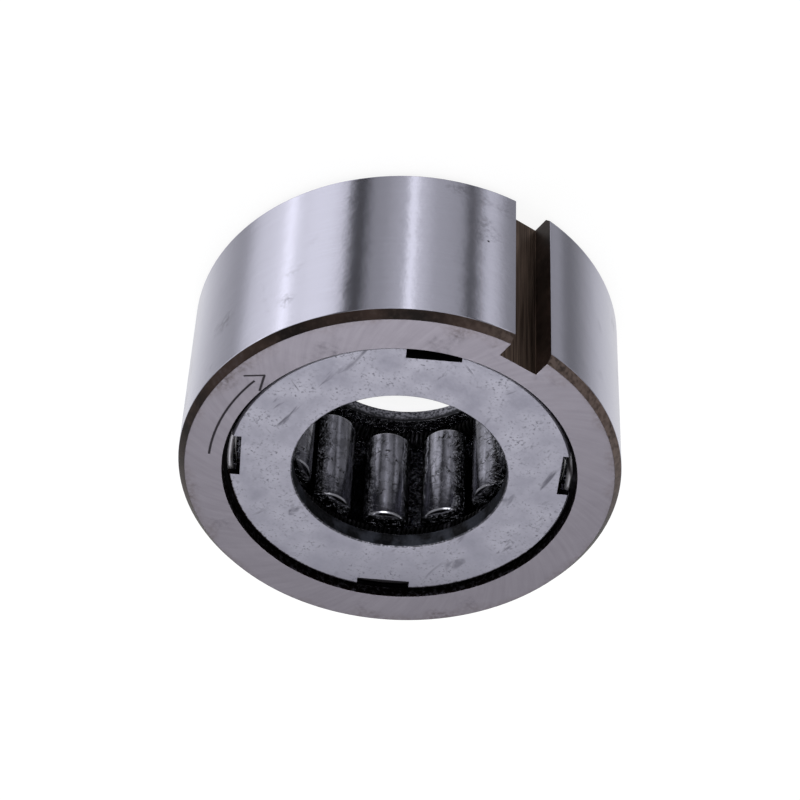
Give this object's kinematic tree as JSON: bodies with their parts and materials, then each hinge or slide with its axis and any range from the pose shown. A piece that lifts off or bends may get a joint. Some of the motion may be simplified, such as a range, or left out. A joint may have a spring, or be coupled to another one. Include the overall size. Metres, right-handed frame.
{
  "type": "sprag clutch",
  "caption": "One-way sprag clutch: keyed steel outer race, side plates held by wire rings, and caged sprags under garter springs around an open shaft bore.",
  "frame": {"origin": "clutch axis at the rear face of the outer race", "axes": "+Z along the axis towards the front face, the one that carries the direction arrow; the keyway faces -Y"},
  "size_m": [0.052, 0.0519, 0.025],
  "materials": {
    "ground_race": "ground bearing steel with dark oxide in the chamfers, keyway and recess",
    "side_plate": "tumbled matt steel",
    "spring_wire": "oiled drawn spring wire",
    "cage_steel": "greasy dark steel",
    "sprag_steel": "polished hardened steel with dark grease"
  },
  "bodies": {
    "housing": {"outer_race": "ground_race", "front_side_plate": "side_plate", "front_retaining_ring": "spring_wire", "rear_side_plate": "side_plate", "rear_retaining_ring": "spring_wire"},
    "cage_drum": {"cage": "cage_steel", "front_garter_spring": "spring_wire", "rear_garter_spring": "spring_wire"},
    "sprag_01_body": {"sprag_01": "sprag_steel"},
    "sprag_02_body": {"sprag_02": "sprag_steel"},
    "sprag_03_body": {"sprag_03": "sprag_steel"},
    "sprag_04_body": {"sprag_04": "sprag_steel"},
    "sprag_05_body": {"sprag_05": "sprag_steel"},
    "sprag_06_body": {"sprag_06": "sprag_steel"},
    "sprag_07_body": {"sprag_07": "sprag_steel"},
    "sprag_08_body": {"sprag_08": "sprag_steel"},
    "sprag_09_body": {"sprag_09": "sprag_steel"},
    "sprag_10_body": {"sprag_10": "sprag_steel"},
    "sprag_11_body": {"sprag_11": "sprag_steel"},
    "sprag_12_body": {"sprag_12": "sprag_steel"}
  },
  "joints": [
    {"name": "cage_turn", "type": "hinge", "parent": "housing", "child": "cage_drum", "pos_m": [0, 0, 0.0125], "axis": [0, 0, 1], "continuous": true},
    {"name": "sprag_01_tilt", "type": "hinge", "parent": "cage_drum", "child": "sprag_01_body", "pos_m": [0.01421, 0.00656, 0.0125], "axis": [0, 0, 1], "range_deg": [-4, 6], "stiffness_Nm_per_rad": 0.0005},
    {"name": "sprag_02_tilt", "type": "hinge", "parent": "cage_drum", "child": "sprag_02_body", "pos_m": [0.00902, 0.01279, 0.0125], "axis": [0, 0, 1], "range_deg": [-4, 6], "stiffness_Nm_per_rad": 0.0005},
    {"name": "sprag_03_tilt", "type": "hinge", "parent": "cage_drum", "child": "sprag_03_body", "pos_m": [0.00142, 0.01559, 0.0125], "axis": [0, 0, 1], "range_deg": [-4, 6], "stiffness_Nm_per_rad": 0.0005},
    {"name": "sprag_04_tilt", "type": "hinge", "parent": "cage_drum", "child": "sprag_04_body", "pos_m": [-0.00656, 0.01421, 0.0125], "axis": [0, 0, 1], "range_deg": [-4, 6], "stiffness_Nm_per_rad": 0.0005},
    {"name": "sprag_05_tilt", "type": "hinge", "parent": "cage_drum", "child": "sprag_05_body", "pos_m": [-0.01279, 0.00902, 0.0125], "axis": [0, 0, 1], "range_deg": [-4, 6], "stiffness_Nm_per_rad": 0.0005},
    {"name": "sprag_06_tilt", "type": "hinge", "parent": "cage_drum", "child": "sprag_06_body", "pos_m": [-0.01559, 0.00142, 0.0125], "axis": [0, 0, 1], "range_deg": [-4, 6], "stiffness_Nm_per_rad": 0.0005},
    {"name": "sprag_07_tilt", "type": "hinge", "parent": "cage_drum", "child": "sprag_07_body", "pos_m": [-0.01421, -0.00656, 0.0125], "axis": [0, 0, 1], "range_deg": [-4, 6], "stiffness_Nm_per_rad": 0.0005},
    {"name": "sprag_08_tilt", "type": "hinge", "parent": "cage_drum", "child": "sprag_08_body", "pos_m": [-0.00902, -0.01279, 0.0125], "axis": [0, 0, 1], "range_deg": [-4, 6], "stiffness_Nm_per_rad": 0.0005},
    {"name": "sprag_09_tilt", "type": "hinge", "parent": "cage_drum", "child": "sprag_09_body", "pos_m": [-0.00142, -0.01559, 0.0125], "axis": [0, 0, 1], "range_deg": [-4, 6], "stiffness_Nm_per_rad": 0.0005},
    {"name": "sprag_10_tilt", "type": "hinge", "parent": "cage_drum", "child": "sprag_10_body", "pos_m": [0.00656, -0.01421, 0.0125], "axis": [0, 0, 1], "range_deg": [-4, 6], "stiffness_Nm_per_rad": 0.0005},
    {"name": "sprag_11_tilt", "type": "hinge", "parent": "cage_drum", "child": "sprag_11_body", "pos_m": [0.01279, -0.00902, 0.0125], "axis": [0, 0, 1], "range_deg": [-4, 6], "stiffness_Nm_per_rad": 0.0005},
    {"name": "sprag_12_tilt", "type": "hinge", "parent": "cage_drum", "child": "sprag_12_body", "pos_m": [0.01559, -0.00142, 0.0125], "axis": [0, 0, 1], "range_deg": [-4, 6], "stiffness_Nm_per_rad": 0.0005}
  ],
  "couplings": [
    {"joint": "sprag_02_tilt", "follows": "sprag_01_tilt", "ratio": 1},
    {"joint": "sprag_03_tilt", "follows": "sprag_01_tilt", "ratio": 1},
    {"joint": "sprag_04_tilt", "follows": "sprag_01_tilt", "ratio": 1},
    {"joint": "sprag_05_tilt", "follows": "sprag_01_tilt", "ratio": 1},
    {"joint": "sprag_06_tilt", "follows": "sprag_01_tilt", "ratio": 1},
    {"joint": "sprag_07_tilt", "follows": "sprag_01_tilt", "ratio": 1},
    {"joint": "sprag_08_tilt", "follows": "sprag_01_tilt", "ratio": 1},
    {"joint": "sprag_09_tilt", "follows": "sprag_01_tilt", "ratio": 1},
    {"joint": "sprag_10_tilt", "follows": "sprag_01_tilt", "ratio": 1},
    {"joint": "sprag_11_tilt", "follows": "sprag_01_tilt", "ratio": 1},
    {"joint": "sprag_12_tilt", "follows": "sprag_01_tilt", "ratio": 1}
  ]
}
